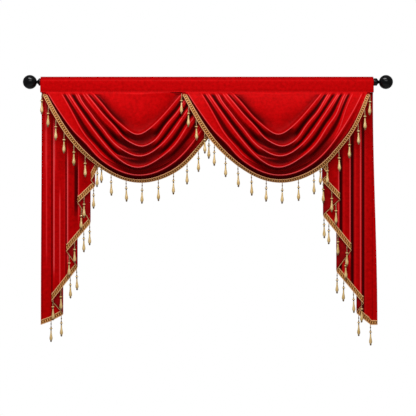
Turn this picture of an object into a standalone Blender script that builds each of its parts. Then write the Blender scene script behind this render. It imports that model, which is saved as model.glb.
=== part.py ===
# Window valance on a curtain rod: a rod pocket heading, two overlapping swags and two knife-pleated tails,
# all hemmed with braid that carries beaded drops. +Z up, -Y faces the room, origin on the rod's axis.
# Sizes are in millimetres here and become metres in mesh_object.
import math

import bmesh
import bpy
import numpy as np

MM = 0.001
HEADING_HALF_WIDTH = 750.0
HEADING_TOP = 23.9
POCKET_TOP = 15.2
RUFFLE_HALF = 1.6
SEAM_Z = -47.0
GAP = 0.3
CLOTH = 1.5

ROD_RADIUS = 12.5
COLLAR_RADIUS = 16.75
NECK_RADIUS = 6.9
BALL_RADIUS = 31.5
RIGHT_BALL_CENTRE = 806.8
LEFT_BALL_CENTRE = -798.2

BRAID_WIDTH = 21.0
BRAID_THICKNESS = 1.1
BRAID_OVERHANG = 3.0

SWAG_COLUMNS = 24
LEFT_SWAG_X = -745.4
RIGHT_SWAG_X = -117.0
SWAG_WIDTH = 860.7

# Each line runs along a swag from the seam, down and back up to the seam.
# name, left end, right end, lowest point across, lowest point down, bend, depth at the ends, depth in the middle
SWAG_LINES = (
    ("fold_1", 228.7, 637.0, 434.4, 190.4, 4.35, 3.0, 20.0),
    ("fold_2", 196.7, 668.0, 452.5, 243.6, 4.10, 3.0, 23.0),
    ("fold_3", 161.5, 710.9, 443.4, 287.4, 2.50, 3.0, 22.0),
    ("fold_4", 118.6, 742.5, 434.4, 338.3, 2.40, 3.0, 26.0),
    ("fold_5", 88.0, 776.0, 434.4, 356.0, 1.60, 3.0, 20.0),
    ("fold_6", 28.4, 816.5, 443.4, 374.0, 1.10, 3.0, 20.0),
    ("braid_top", 19.8, 839.0, 443.0, 392.9, 1.00, 1.5, 9.0),
    ("braid_edge", 0.0, 854.0, 448.0, 406.9, 0.94, 1.5, 9.0),
)
# Where a line swings outwards from its curve: share of its length, by how much, over what share
SWAG_SWINGS = {
    "fold_1": ((0.72, 4.0, 0.18),),
    "fold_2": ((0.20, 4.0, 0.10), (0.39, 8.0, 0.07), (0.63, 7.0, 0.07), (0.85, 6.0, 0.08)),
    "fold_3": ((0.08, 6.0, 0.07), (0.34, 9.0, 0.09), (0.68, 5.0, 0.12)),
    "fold_4": ((0.72, 19.0, 0.12), (0.88, 12.0, 0.06)),
    "fold_5": ((0.22, 13.0, 0.10), (0.34, 8.0, 0.05), (0.80, 34.0, 0.10), (0.66, 20.0, 0.08)),
    "fold_6": ((0.26, -7.0, 0.05), (0.70, 3.0, 0.08)),
    "braid_top": ((0.20, 5.0, 0.12), (0.68, 8.0, 0.08), (0.84, 13.0, 0.10)),
    "braid_edge": ((0.20, 9.0, 0.12), (0.68, 8.0, 0.08), (0.85, 12.0, 0.10)),
}
PANEL_LEFT, PANEL_RIGHT = 236.0, 629.0
HEM_TILT = 15.0

# Share of the way from one fold's crest to the next, with how much of each crest's depth stands there.
FOLD_STEPS = ((0.0, 1.0, 0.0), (0.07, 0.62, 0.0), (0.17, 0.06, 0.0), (0.48, 0.0, 0.30), (0.8, 0.0, 0.80))
PANEL_STEPS = ((0.0, 0.0), (0.4, 0.0), (0.75, 0.10))
LAST_STEPS = ((0.0, 1.0, 0.0), (0.2, 0.45, 0.0), (0.55, 0.0, 0.2))

# A tail is one cloth folded to and fro: F folds turn on the side of the window's middle, B folds on the outer side.
# name, distance from the outer edge, braid's lower edge below the seam, depth arriving, depth leaving
LEFT_TAIL = (
    ("edge", 0.0, 1049.0, 14.0, 14.0),
    ("mid", 43.8, 1032.6, 13.0, 13.0),
    ("F", 97.4, 1001.9, 14.0, 7.6),
    ("B", 48.3, 941.0, 6.4, 0.0),
    ("mid", 84.0, 894.2, -0.2, -0.2),
    ("F", 163.3, 789.9, 6.0, -0.4),
    ("B", 115.9, 717.7, -3.2, -9.4),
    ("mid", 142.0, 685.6, -9.4, -9.4),
    ("F", 222.8, 588.2, -3.0, -9.2),
    ("B", 167.8, 498.9, -12.3, -18.3),
    ("F", 244.5, 422.2, -14.2, -19.8),
    ("B", 228.7, 400.0, -20.6, -26.2),
    ("edge", 282.8, 300.0, -23.0, -23.0),
)
RIGHT_TAIL = (
    ("edge", 0.0, 1049.0, 14.0, 14.0),
    ("mid", 24.0, 1049.0, 13.2, 13.2),
    ("mid", 49.0, 1024.0, 13.2, 13.2),
    ("F", 74.4, 995.1, 14.0, 7.6),
    ("B", 46.0, 952.3, 6.8, 0.4),
    ("mid", 76.0, 915.8, 0.0, 0.0),
    ("F", 166.5, 805.7, 5.5, -0.9),
    ("B", 102.4, 713.2, -3.6, -9.8),
    ("mid", 130.0, 678.3, -9.8, -9.8),
    ("F", 227.4, 555.3, -4.5, -10.7),
    ("B", 154.3, 484.0, -13.7, -19.7),
    ("F", 233.2, 397.4, -16.5, -22.1),
    ("B", 208.4, 372.0, -23.5, -28.9),
    ("edge", 258.0, 300.0, -27.0, -27.0),
)
LEFT_TAIL_X = -747.2
RIGHT_TAIL_X = 750.0
LEFT_FLARE = 4.0
RIGHT_FLARE = 20.7
TAIL_LENGTH = 1049.0
TURN_REACH = 3.2
TAIL_ROWS = (0.0, 0.05, 0.10, 0.17, 0.26, 0.42, 0.70, 1.0)
SEAM_SQUEEZE = 0.311
SEAM_SHIFT = 6.25
OPENING_LENGTH = 220.0

SWAG_DROPS = 18
DROPS_CROWD = 0.012
DROPS_CROWD_TO = 13.5
# Panels count along the cloth from 0, even ones facing the room. panel, distance from the outer edge, hangs forward by
LEFT_TAIL_DROPS = (
    (0, 45.1, 0.0), (0, 89.3, 0.0),
    (2, 53.0, 2.0), (2, 88.9, 4.0), (2, 130.8, 2.0), (2, 159.0, 0.0),
    (3, 126.8, 6.0), (4, 151.6, 4.0), (4, 192.6, 2.0), (4, 219.0, 0.0),
    (5, 182.2, 6.5), (6, 195.3, 4.0), (6, 238.0, 0.0), (8, 275.0, 1.0),
)
RIGHT_TAIL_DROPS = (
    (0, 25.0, 0.0), (0, 66.3, 0.0),
    (2, 52.8, 3.0), (2, 89.8, 3.0), (2, 133.0, 2.0), (2, 162.5, 0.0),
    (3, 125.9, 6.0), (4, 120.4, 4.0), (4, 161.0, 3.0), (4, 201.2, 1.0), (4, 223.0, 0.0),
    (5, 170.0, 6.5), (6, 189.5, 4.0), (6, 228.0, 1.0), (8, 242.2, 3.0),
)
# depth below the braid, radius
DROP_PROFILE = ((26.0, 1.6), (33.0, 6.7), (40.0, 1.6), (54.0, 1.9), (77.0, 6.4), (87.0, 3.2), (95.0, 2.2))
DROP_SIDES = 4
ROOT_INSIDE = 1.3
ROOT_RADIUS = 0.75


def material(name, color, roughness, metallic=0.0):
    made = bpy.data.materials.new(name)
    made.use_nodes = True
    shader = made.node_tree.nodes["Principled BSDF"]
    shader.inputs["Base Color"].default_value = (*color, 1.0)
    shader.inputs["Roughness"].default_value = roughness
    shader.inputs["Metallic"].default_value = metallic
    return made


def mesh_object(name, points, faces, look, smooth=True):
    mesh = bpy.data.meshes.new(name)
    mesh.from_pydata([tuple(MM * c for c in p) for p in points], [], faces)
    shape = bmesh.new()
    shape.from_mesh(mesh)
    bmesh.ops.recalc_face_normals(shape, faces=shape.faces)
    shape.to_mesh(mesh)
    shape.free()
    if smooth:
        mesh.shade_smooth()
    mesh.materials.append(look)
    made = bpy.data.objects.new(name, mesh)
    bpy.context.scene.collection.objects.link(made)
    return made


def slab(front, back):
    """Closed sheet between two grids of points of the same size."""
    rows, columns = front.shape[:2]
    points = np.concatenate([front.reshape(-1, 3), back.reshape(-1, 3)])
    far = rows * columns
    faces = []
    for r in range(rows - 1):
        for c in range(columns - 1):
            a, b = r * columns + c, r * columns + c + 1
            d, e = a + columns, b + columns
            faces += [(a, b, e), (a, e, d), (far + a, far + e, far + b), (far + a, far + d, far + e)]
    rim = [(0, c) for c in range(columns)] + [(r, columns - 1) for r in range(1, rows)]
    rim += [(rows - 1, c) for c in range(columns - 2, -1, -1)] + [(r, 0) for r in range(rows - 2, 0, -1)]
    loop = [r * columns + c for r, c in rim]
    for a, b in zip(loop, loop[1:] + loop[:1]):
        faces += [(a, far + a, far + b), (a, far + b, b)]
    return points, faces


# swags


def swag_line(left, right, low_u, low_v, bend, swings, shares):
    """Points along a hanging curve at the given shares of its length; both ends are on the seam."""
    t = np.linspace(0.0, 1.0, 400)
    pull_v = low_v * (1.0 + bend) / bend
    pull_u = (low_u * (1.0 + bend) - 0.5 * (left + right)) / bend
    weight = (1 - t) ** 2 + 2 * bend * t * (1 - t) + t**2
    u = ((1 - t) ** 2 * left + 2 * bend * t * (1 - t) * pull_u + t**2 * right) / weight
    v = 2 * bend * t * (1 - t) * pull_v / weight
    along = np.concatenate([[0.0], np.cumsum(np.hypot(np.diff(u), np.diff(v)))])
    along /= along[-1]
    out = sum(amount * np.exp(-(((along - place) / spread) ** 2)) for place, amount, spread in swings)
    out = out * np.clip(np.minimum(along, 1.0 - along) / 0.05, 0.0, 1.0)
    slope_u, slope_v = np.gradient(u), np.gradient(v)
    length = np.hypot(slope_u, slope_v)
    u, v = u - out * slope_v / length, v + out * slope_u / length
    return np.stack([np.interp(shares, along, u), np.interp(shares, along, v)], axis=1)


def smooth(x):
    x = np.clip(x, 0.0, 1.0)
    return x * x * (3.0 - 2.0 * x)


class Swag:
    def __init__(self, start_x, seam_y, forward_left, forward_right, onset):
        self.start_x, self.seam_y, self.onset = start_x, seam_y, onset
        self.forward_left, self.forward_right = forward_left, forward_right
        self.shares = np.linspace(0.0, 1.0, SWAG_COLUMNS)
        seam = np.stack([PANEL_LEFT + self.shares * (PANEL_RIGHT - PANEL_LEFT), 0.0 * self.shares], axis=1)
        self.lines = [seam] + [swag_line(*row[1:6], SWAG_SWINGS[row[0]], self.shares) for row in SWAG_LINES]
        arch = np.sin(math.pi * self.shares)
        self.crests = [0.0 * arch]
        for name, *_, ends, middle in SWAG_LINES:
            swell = arch**1.2
            if name == "fold_5":
                swell = swell * (1.0 - 0.85 * np.exp(-(((self.shares - 0.5) / 0.14) ** 2)))
            self.crests.append(ends + (middle - ends) * swell)
        self.tilt = HEM_TILT * arch**1.5

    def row(self, line, share, upper, lower, tilt=0.0):
        """One row of the cloth's face, a share of the way from a line to the next, with its depth."""
        flat = self.lines[line] * (1 - share) + self.lines[line + 1] * share
        u, v = flat[:, 0], flat[:, 1]
        ahead = self.forward_left + (self.forward_right - self.forward_left) * smooth((u / SWAG_WIDTH - 0.34) / 0.44)
        y = self.seam_y - ahead * (1.0 - np.exp(-v / self.onset))
        y = y - upper * self.crests[line] - lower * self.crests[line + 1] + tilt * self.tilt
        return np.stack([self.start_x + u, y, SEAM_Z - GAP - v], axis=1)

    def face(self):
        rows = [self.row(0, share, 0.0, lower) for share, lower in PANEL_STEPS]
        for line in range(1, 6):
            rows += [self.row(line, *step) for step in FOLD_STEPS]
        rows += [self.row(6, *step) for step in LAST_STEPS]
        self.braid_start = len(rows)
        rows.append(self.row(7, 0.0, 1.0, 0.0))
        cut = 1.0 - BRAID_OVERHANG / BRAID_WIDTH
        rows.append(self.row(7, cut, 1.0 - cut, cut, cut))
        return np.array(rows)

    def braid_edge(self):
        return self.row(7, 1.0, 0.0, 1.0, 1.0)


def face_normals(grid):
    """Unit normals of a grid of points, pointing to the room, and straight to it along the seam."""
    down = np.gradient(grid, axis=0)
    along = np.gradient(grid, axis=1)
    normal = np.cross(along, down)
    normal *= -np.sign(normal[..., 1:2])
    for edge in (normal[0], normal[:, 0], normal[:, -1]):
        edge[...] = (0.0, -1.0, 0.0)
    return normal / np.linalg.norm(normal, axis=2, keepdims=True)


def build_swag(side, swag, cloth, braid):
    face = swag.face()
    normal = face_normals(face)
    mesh_object(f"swag_{side}", *slab(face, face - CLOTH * normal), cloth)

    start = swag.braid_start
    rows = np.stack([face[start], face[start + 1], swag.braid_edge()])
    lift = normal[[start, start + 1, start + 1]]
    inner = rows + GAP * lift
    outer = rows + (GAP + BRAID_THICKNESS) * lift
    middle = 0.5 * (inner + outer)
    edge, upward = middle[2], middle[1] - middle[2]
    upward /= np.linalg.norm(upward, axis=1, keepdims=True)
    roots = []
    for i in range(SWAG_DROPS):
        crowd = max(0.0, math.sin(math.pi * i / DROPS_CROWD_TO)) ** 0.7
        share = 0.006 + 0.984 * i / (SWAG_DROPS - 1) - DROPS_CROWD * crowd
        place = share * (SWAG_COLUMNS - 1)
        c = min(int(place), SWAG_COLUMNS - 2)
        mix = place - c
        point = edge[c] * (1 - mix) + edge[c + 1] * mix
        up = upward[c] * (1 - mix) + upward[c + 1] * mix
        roots.append((point, up / np.linalg.norm(up), 5.0 + 3.0 * abs(2 * share - 1)))
    build_braid(f"trim_swag_{side}", slab(outer, inner), roots, braid)


# tails


def tail_path(table):
    """Columns across the folded cloth: distance out, depth, lower edge, face direction and braid slope, and the panel."""
    columns, panel = [], 0
    for name, out, drop, depth_in, depth_out in table:
        if name in ("edge", "mid"):
            columns.append((out, depth_in, drop, 0.0, 1.0 if panel % 2 else -1.0, panel))
            continue
        turn = 1.0 if name == "F" else -1.0
        middle, half = 0.5 * (depth_in + depth_out), 0.5 * (depth_in - depth_out)
        for step, angle in enumerate((90.0, 32.0, -32.0, -90.0)):
            cos, sin = math.cos(math.radians(angle)), math.sin(math.radians(angle))
            place = out - turn * TURN_REACH * (1.0 - cos)
            direction = (-turn * cos * turn, -sin) if name == "F" else (-cos, sin)
            columns.append((place, middle + half * sin, drop, *direction, panel + step // 2))
        panel += 1
    return columns


class Tail:
    def __init__(self, table, outer_x, inward, flare):
        self.columns = tail_path(table)
        self.outer_x, self.inward, self.flare = outer_x, inward, flare
        out = np.array([c[0] for c in self.columns])
        depth = np.array([c[1] for c in self.columns])
        drop = np.array([c[2] for c in self.columns])
        step = np.hypot(np.diff(out), np.diff(depth))
        self.along = np.concatenate([[0.0], np.cumsum(step)])
        self.first_fold = next(row[1] for row in table if row[0] == "F")
        # The lower edge follows the path's own length, so that it keeps its slope round each turn.
        corners = [i for i in range(len(drop)) if i in (0, len(drop) - 1) or drop[i] != drop[i - 1]]
        centres = []
        for i in corners:
            same = [j for j in range(len(drop)) if drop[j] == drop[i] and abs(j - i) < 4]
            centres.append(0.5 * (self.along[same[0]] + self.along[same[-1]]))
        self.drop = np.interp(self.along, centres, drop[corners])
        slope = np.abs(np.gradient(self.drop, self.along))
        self.stretch = np.sqrt(1.0 + np.minimum(slope, 2.0) ** 2)

    def point(self, i, below, lift):
        """A point on a column, a distance below the seam, lifted off the middle of the cloth towards its face."""
        out, depth, _, face_x, face_y, panel = self.columns[i]
        opened = float(smooth(below / OPENING_LENGTH))
        seam_depth = SEAM_SHIFT + SEAM_SQUEEZE * depth
        y = seam_depth + (depth - seam_depth) * opened + lift * face_y
        spread = 0.0
        if panel == 0:
            spread = self.flare * max(0.0, 1.0 - out / self.first_fold) * smooth(below / TAIL_LENGTH)
        x = self.outer_x + self.inward * (out - spread + lift * face_x)
        return (x, y, SEAM_Z - GAP - below)

    def cloth(self, lift):
        hem = self.drop - BRAID_OVERHANG * self.stretch
        count = range(len(self.columns))
        return np.array([[self.point(i, row * hem[i], lift) for i in count] for row in TAIL_ROWS])

    def braid(self, lift):
        count = range(len(self.columns))
        top = [self.point(i, self.drop[i] - BRAID_WIDTH * self.stretch[i], lift) for i in count]
        edge = [self.point(i, self.drop[i], lift) for i in count]
        return np.array([top, edge])

    def root(self, panel, out):
        """The braid's lower edge on a panel, at a distance from the outer edge."""
        chosen = [i for i, c in enumerate(self.columns) if c[5] == panel]
        chosen.sort(key=lambda i: self.columns[i][0])
        places = [self.columns[i][0] for i in chosen]
        lift = 0.5 * CLOTH + GAP + 0.5 * BRAID_THICKNESS
        edges = np.array([self.point(i, self.drop[i], lift) for i in chosen])
        return np.array([np.interp(out, places, edges[:, axis]) for axis in range(3)])


def build_tail(side, tail, drops, cloth, braid):
    mesh_object(f"tail_{side}", *slab(tail.cloth(0.5 * CLOTH), tail.cloth(-0.5 * CLOTH)), cloth)
    near, far = 0.5 * CLOTH + GAP, 0.5 * CLOTH + GAP + BRAID_THICKNESS
    roots = [(tail.root(panel, out), np.array([0.0, 0.0, 1.0]), forward) for panel, out, forward in drops]
    build_braid(f"trim_tail_{side}", slab(tail.braid(far), tail.braid(near)), roots, braid)


# braid and drops


def drop_shape(points, faces, root, up, forward):
    """Adds one beaded drop as a closed turned shape; it starts inside the braid and hangs plumb below it."""
    base = len(points)
    rings = [(root + ROOT_INSIDE * up, ROOT_RADIUS)]
    for below, radius in DROP_PROFILE:
        rings.append((root + np.array([0.0, -forward * smooth(below / 30.0), -below]), radius))
    for centre, radius in rings:
        for k in range(DROP_SIDES):
            angle = 2 * math.pi * k / DROP_SIDES
            points.append(tuple(centre + radius * np.array([math.cos(angle), math.sin(angle), 0.0])))
    for r in range(len(rings) - 1):
        for k in range(DROP_SIDES):
            a, b = base + r * DROP_SIDES + k, base + r * DROP_SIDES + (k + 1) % DROP_SIDES
            faces.append((a, b, b + DROP_SIDES, a + DROP_SIDES))
    faces.append(tuple(base + k for k in range(DROP_SIDES)))
    faces.append(tuple(base + (len(rings) - 1) * DROP_SIDES + k for k in range(DROP_SIDES)))


def build_braid(name, strip, roots, look):
    band = mesh_object(name, *strip, look)
    points, faces = [], []
    for root, up, forward in roots:
        drop_shape(points, faces, root, up, forward)
    drops = mesh_object(f"{name}_drops", points, faces, look)
    drops.hide_render = True
    drops.display_type = "WIRE"
    join = band.modifiers.new("join drops", "BOOLEAN")
    join.operation = "UNION"
    join.solver = "EXACT"
    join.object = drops


# heading, rod and finials


def build_heading(cloth):
    """A rod pocket in one closed ring, with two layers sewn flat above it as a ruffle."""
    half = HEADING_HALF_WIDTH
    arch = [math.radians(angle) for angle in (162, 138, 114, 66, 42, 18)]
    inside, outside = ROD_RADIUS + 0.6, ROD_RADIUS + 0.6 + CLOTH
    outer = [(-14.4, SEAM_Z), (-14.8, -20.0), (-14.8, 0.0)]
    outer += [(outside * math.cos(a), outside * math.sin(a)) for a in arch[:3]]
    outer += [(-RUFFLE_HALF, POCKET_TOP), (-RUFFLE_HALF, HEADING_TOP), (RUFFLE_HALF, HEADING_TOP), (RUFFLE_HALF, POCKET_TOP)]
    outer += [(outside * math.cos(a), outside * math.sin(a)) for a in arch[3:]]
    outer += [(14.8, 0.0), (14.6, -20.0), (12.6, SEAM_Z)]
    inner = [(-12.9, SEAM_Z + CLOTH), (-13.3, -20.0), (-13.3, 0.0)]
    inner += [(inside * math.cos(a), inside * math.sin(a)) for a in arch[:3]]
    inner += [(0.0, inside)]
    inner += [(inside * math.cos(a), inside * math.sin(a)) for a in arch[3:]]
    inner += [(13.3, 0.0), (13.1, -20.0), (11.1, SEAM_Z + CLOTH)]
    shape = bmesh.new()
    rings = []
    for x in (-half, half):
        rings.append([[shape.verts.new((MM * x, MM * y, MM * z)) for y, z in loop] for loop in (outer, inner)])
    for loop in (0, 1):
        count = len(rings[0][loop])
        for k in range(count):
            n = (k + 1) % count
            shape.faces.new((rings[0][loop][k], rings[0][loop][n], rings[1][loop][n], rings[1][loop][k]))
    for end in rings:
        edges = []
        for loop in end:
            edges += [shape.edges.get((loop[k], loop[(k + 1) % len(loop)])) for k in range(len(loop))]
        bmesh.ops.triangle_fill(shape, use_beauty=True, edges=edges)
    bmesh.ops.recalc_face_normals(shape, faces=shape.faces)
    mesh = bpy.data.meshes.new("heading")
    shape.to_mesh(mesh)
    shape.free()
    mesh.materials.append(cloth)
    bpy.context.scene.collection.objects.link(bpy.data.objects.new("heading", mesh))


def turned(name, profile, look, sides=20):
    """A shape turned round the rod's axis from points of x and radius; both ends are on the axis."""
    points, faces = [(profile[0][0], 0.0, 0.0)], []
    for x, radius in profile[1:-1]:
        for k in range(sides):
            angle = 2 * math.pi * k / sides
            points.append((x, radius * math.cos(angle), radius * math.sin(angle)))
    points.append((profile[-1][0], 0.0, 0.0))
    rings = len(profile) - 2
    for k in range(sides):
        n = (k + 1) % sides
        faces.append((0, 1 + k, 1 + n))
        for r in range(rings - 1):
            a = 1 + r * sides
            faces.append((a + k, a + n, a + sides + n, a + sides + k))
        last = 1 + (rings - 1) * sides
        faces.append((last + k, last + n, len(points) - 1))
    made = mesh_object(name, points, faces, look)
    made.data.set_sharp_from_angle(angle=math.radians(40))
    return made


def build_finial(name, ball_centre, look):
    """Collar, neck and ball outside the heading's edge; the collar fills the length that the ball's place leaves."""
    side = math.copysign(1.0, ball_centre)
    reach = abs(ball_centre) - HEADING_HALF_WIDTH
    neck_end = reach - math.sqrt(BALL_RADIUS**2 - NECK_RADIUS**2)
    profile = [(GAP, 0.0), (GAP, COLLAR_RADIUS - 0.7), (GAP + 0.8, COLLAR_RADIUS), (neck_end - 11.0, COLLAR_RADIUS)]
    profile += [(neck_end - 9.4, COLLAR_RADIUS - 1.0), (neck_end - 6.4, 10.6), (neck_end - 4.0, 7.8)]
    first = math.degrees(math.asin(NECK_RADIUS / BALL_RADIUS))
    for angle in np.linspace(first, 180.0, 11):
        a = math.radians(angle)
        profile.append((reach - BALL_RADIUS * math.cos(a), BALL_RADIUS * math.sin(a)))
    return turned(name, [(side * (HEADING_HALF_WIDTH + x), radius) for x, radius in profile], look)


for old in list(bpy.data.objects):
    bpy.data.objects.remove(old, do_unlink=True)

red_cloth = material("red cloth", (0.55, 0.004, 0.012), 0.45)
gold_braid = material("gold braid", (0.60, 0.32, 0.10), 0.5)
black_metal = material("black metal", (0.008, 0.008, 0.009), 0.25)

end = HEADING_HALF_WIDTH
turned("rod", [(-end, 0.0), (-end, ROD_RADIUS), (end, ROD_RADIUS), (end, 0.0)], black_metal, sides=28)
build_finial("finial_left", LEFT_BALL_CENTRE, black_metal)
build_finial("finial_right", RIGHT_BALL_CENTRE, black_metal)
build_heading(red_cloth)
build_tail("left", Tail(LEFT_TAIL, LEFT_TAIL_X, 1.0, LEFT_FLARE), LEFT_TAIL_DROPS, red_cloth, gold_braid)
build_tail("right", Tail(RIGHT_TAIL, RIGHT_TAIL_X, -1.0, RIGHT_FLARE), RIGHT_TAIL_DROPS, red_cloth, gold_braid)
build_swag("left", Swag(LEFT_SWAG_X, -5.0, 33.0, 3.0, 60.0), red_cloth, gold_braid)
build_swag("right", Swag(RIGHT_SWAG_X, -10.0, 26.0, 30.0, 45.0), red_cloth, gold_braid)
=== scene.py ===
import math

import bmesh
import bpy
import numpy as np
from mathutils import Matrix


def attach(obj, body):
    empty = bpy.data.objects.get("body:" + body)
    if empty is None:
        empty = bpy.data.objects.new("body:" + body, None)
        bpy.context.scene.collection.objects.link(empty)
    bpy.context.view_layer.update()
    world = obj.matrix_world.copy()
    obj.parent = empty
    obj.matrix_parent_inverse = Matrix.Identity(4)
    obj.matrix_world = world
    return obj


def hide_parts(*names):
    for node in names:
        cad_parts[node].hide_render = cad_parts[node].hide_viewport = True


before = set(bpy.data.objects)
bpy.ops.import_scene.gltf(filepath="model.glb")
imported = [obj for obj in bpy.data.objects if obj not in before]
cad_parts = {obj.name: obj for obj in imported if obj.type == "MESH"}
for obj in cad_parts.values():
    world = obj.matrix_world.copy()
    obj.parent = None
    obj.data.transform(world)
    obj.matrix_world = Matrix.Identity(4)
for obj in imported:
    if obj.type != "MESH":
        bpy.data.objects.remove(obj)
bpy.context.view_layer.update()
print("frame loaded, CAD nodes:", len(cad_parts))

mm = 0.001
up = np.array([0.0, 0.0, 1.0])
seamZ = -47
seamGap = 0.3
clothThick = 1.2


# materials


def newLook(name, placedBy="Object"):
    look = bpy.data.materials.new(name)
    look.use_nodes = True
    nodes = look.node_tree.nodes
    return look, nodes, nodes["Principled BSDF"], addNode(nodes, "TexCoord").outputs[placedBy]


def join(source, node, socket):
    node.id_data.links.new(source, node.inputs[socket])


def fill(node, values):
    for name, value in values.items():
        if name in node.inputs:
            node.inputs[name].default_value = value
        else:
            setattr(node, name, value)
    return node


def addNode(nodes, kind, **values):
    return fill(nodes.new(f"ShaderNode{kind}"), values)


def noise(nodes, place, scale, detail=2, roughness=0.5):
    made = addNode(nodes, "TexNoise", Scale=scale, Detail=detail, Roughness=roughness)
    join(place, made, "Vector")
    return made.outputs["Fac"]


def ramp(nodes, source, stops):
    made = addNode(nodes, "ValToRGB")
    parts = made.color_ramp.elements
    while len(parts) < len(stops):
        parts.new(0.5)
    for part, (at, colour) in zip(parts, stops):
        part.position = at
        part.color = (*colour, 1)
    join(source, made, "Fac")
    return made.outputs["Color"]


def bump(nodes, source, strength, distance, before=None):
    made = addNode(nodes, "Bump", Strength=strength, Distance=distance)
    join(source, made, "Height")
    if before is not None:
        join(before, made, "Normal")
    return made.outputs["Normal"]


# roughness that follows a pattern between two limits
def roughen(nodes, shader, pattern, least, most):
    wear = addNode(nodes, "MapRange", **{"To Min": least, "To Max": most})
    join(pattern, wear, "Value")
    join(wear.outputs["Result"], shader, "Roughness")


velvet = {
    "dark": (0.44, 0.0004, 0.0008), "main": (0.56, 0.0007, 0.0014), "light": (0.66, 0.0014, 0.0028),
    # painted shade colour for the gaps between folds; painted highlight colours along fold crests, streaks and the
    # seam
    "paintedShade": (0.045, 0.0002, 0.0003), "paintedHighlight": (1, 0.016, 0.02), "edge": (0.88, 0.125, 0.135),
    "mottleScale": 70, "mottleBump": (0.35, 0.0015), "pileScale": 1500, "pileBump": (0.5, 0.0005),
    "smoothest": 0.36, "roughest": 0.5,
    "face": {"Specular IOR Level": 0.018, "Sheen Weight": 0.012, "Sheen Roughness": 0.3,
             "Sheen Tint": (1, 0.3, 0.36, 1)},
    "reverseDark": (0.24, 0.001, 0.002), "reverseLight": (0.36, 0.002, 0.004),
    "ribScale": 420, "ribBump": (0.5, 0.0003), "cloudScale": 40,
    "reverse": {"Roughness": 0.75, "Specular IOR Level": 0.04},
}


def makeVelvet():
    look, nodes, shader, place = newLook("red_velvet")
    mottle = noise(nodes, place, velvet["mottleScale"], 3, 0.6)
    colour = ramp(nodes, mottle, [(0.3, velvet["dark"]), (0.52, velvet["main"]), (0.75, velvet["light"])])
    base, over, mixed = 6, 7, 2  # the mix node's colours and its result
    # painted shade is mixed in by one attribute, then painted highlight by the other
    for name in ("paintedShade", "edge"):
        blend = addNode(nodes, "Mix", data_type="RGBA")
        amount = addNode(nodes, "Attribute", attribute_name=name)
        join(amount.outputs["Fac"], blend, "Factor")
        join(colour, blend, base)
        if name == "paintedShade":
            blend.inputs[over].default_value = (*velvet[name], 1)
        else:
            join(ramp(nodes, amount.outputs["Fac"], [(0.3, velvet["paintedHighlight"]), (0.82, velvet["edge"])]), blend, over)
        colour = blend.outputs[mixed]
    join(colour, shader, "Base Color")
    pile = noise(nodes, place, velvet["pileScale"], 2)
    lay = bump(nodes, mottle, *velvet["mottleBump"])
    join(bump(nodes, pile, *velvet["pileBump"], lay), shader, "Normal")
    roughen(nodes, shader, mottle, velvet["smoothest"], velvet["roughest"])
    fill(shader, velvet["face"])
    return look


def makeReverse():
    look, nodes, shader, place = newLook("red_velvet_reverse", "UV")
    both = addNode(nodes, "Math", operation="MULTIPLY")
    for k, way in enumerate("XY"):
        ribs = addNode(nodes, "TexWave", Scale=velvet["ribScale"], Distortion=0.6, bands_direction=way)
        join(place, ribs, "Vector")
        join(ribs.outputs["Fac"], both, k)
    cloud = noise(nodes, place, velvet["cloudScale"], 2)
    colour = ramp(nodes, cloud, [(0.3, velvet["reverseDark"]), (0.7, velvet["reverseLight"])])
    join(colour, shader, "Base Color")
    join(bump(nodes, both.outputs[0], *velvet["ribBump"]), shader, "Normal")
    fill(shader, velvet["reverse"])
    return look


braidLook = {
    # the dark colours stand partly for painted shade in the braid's recesses
    "cordDark": (0.58, 0.16, 0.02), "cordLight": (1, 0.6, 0.28), "cordStops": (0.3, 0.58),
    "centreDark": (0.15, 0.028, 0.002), "centreLight": (1, 0.5, 0.13), "centreStops": (0.6, 0.88),
    "cordScale": 160, "centreScale": 110, "fleckScale": 700, "strandBump": (0.6, 0.0004),
    "threadToneAndShadeShare": 0.9, "strandShare": 0.12, "fleckShare": 0.2, "offset": -0.08,
    "thread": {"Roughness": 0.5, "Specular IOR Level": 0.2},
}


# gold threads, coloured by how raised they are (lower ones darker: partly painted shade in the braid's recesses,
# partly its darker threads), by their strands and by fine flecks
def makeBraidLook(part):
    look, nodes, shader, place = newLook(f"braid_{part}", "UV")
    strands = addNode(nodes, "TexWave", Scale=braidLook[f"{part}Scale"], Distortion=1.2,
                      bands_direction="DIAGONAL")
    join(place, strands, "Vector")
    fleck = noise(nodes, place, braidLook["fleckScale"], 2)
    threadToneAndShade = addNode(nodes, "Attribute", attribute_name="threadToneAndShade")
    total = None
    for source, share in ((threadToneAndShade.outputs["Fac"], "threadToneAndShadeShare"), (strands.outputs["Fac"], "strandShare"),
                          (fleck, "fleckShare")):
        added = addNode(nodes, "Math", operation="MULTIPLY_ADD")
        join(source, added, 0)
        added.inputs[1].default_value = braidLook[share]
        added.inputs[2].default_value = braidLook["offset"]
        if total is not None:
            join(total, added, 2)
        total = added.outputs[0]
    stops = zip(braidLook[f"{part}Stops"], (braidLook[f"{part}Dark"], braidLook[f"{part}Light"]))
    join(ramp(nodes, total, list(stops)), shader, "Base Color")
    join(bump(nodes, strands.outputs["Fac"], *braidLook["strandBump"]), shader, "Normal")
    fill(shader, braidLook["thread"])
    return look


# darker and lighter colour, size of the clouding, and the shader's own values
dropLooks = {
    "thread": ((0.24, 0.13, 0.055), (0.44, 0.27, 0.13), 900, {"Roughness": 0.6}),
    "acrylic": ((0.72, 0.46, 0.14), (1, 0.72, 0.34), 60,
                {"Roughness": 0.18, "Transmission Weight": 0.12, "IOR": 1.49, "Coat Weight": 0.25,
                 "Coat Roughness": 0.08}),
    "bronze_bead": ((0.13, 0.07, 0.022), (0.3, 0.18, 0.07), 300,
                    {"Roughness": 0.3, "Metallic": 0.15, "Coat Weight": 0.1}),
}


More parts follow.
